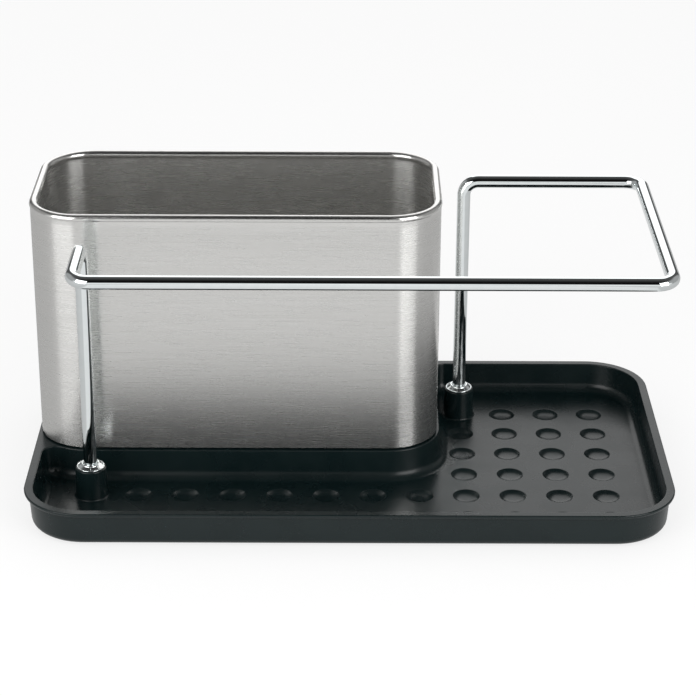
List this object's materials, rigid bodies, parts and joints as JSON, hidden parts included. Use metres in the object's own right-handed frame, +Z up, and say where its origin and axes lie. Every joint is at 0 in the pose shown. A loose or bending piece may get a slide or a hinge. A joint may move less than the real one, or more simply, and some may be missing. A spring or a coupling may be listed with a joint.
{
  "type": "sink_caddy",
  "caption": "Kitchen sink caddy: a black dimpled drip tray, a brushed steel cup on a raised stand, and a chrome wire rail for a dish cloth",
  "frame": {"origin": "under the middle of the tray's outline, on the surface that the feet stand on", "axes": "+X along the tray to the user's right, +Y to its back, +Z up"},
  "size_m": [0.26, 0.1456, 0.1185],
  "materials": {
    "black_plastic": "moulded, satin to gloss",
    "brushed_cup": "brushed round the cup",
    "chrome_wire": "polished",
    "foot_rubber": "matt"
  },
  "bodies": {
    "tray": {"drip_tray": "black_plastic", "foot_front_left": "foot_rubber", "foot_front_right": "foot_rubber", "foot_back_left": "foot_rubber", "foot_back_right": "foot_rubber"},
    "cup": {"cup_wall": "brushed_cup", "cup_base": "brushed_cup"},
    "rail": {"cloth_rail": "chrome_wire", "collar_left": "chrome_wire", "collar_right": "chrome_wire"}
  },
  "joints": [
    {"name": "cup_lift", "type": "slide", "parent": "tray", "child": "cup", "axis": [0, 0, 1], "range_m": [0, 0.12]},
    {"name": "rail_lift", "type": "slide", "parent": "tray", "child": "rail", "axis": [0, 0, 1], "range_m": [0, 0.12]}
  ]
}
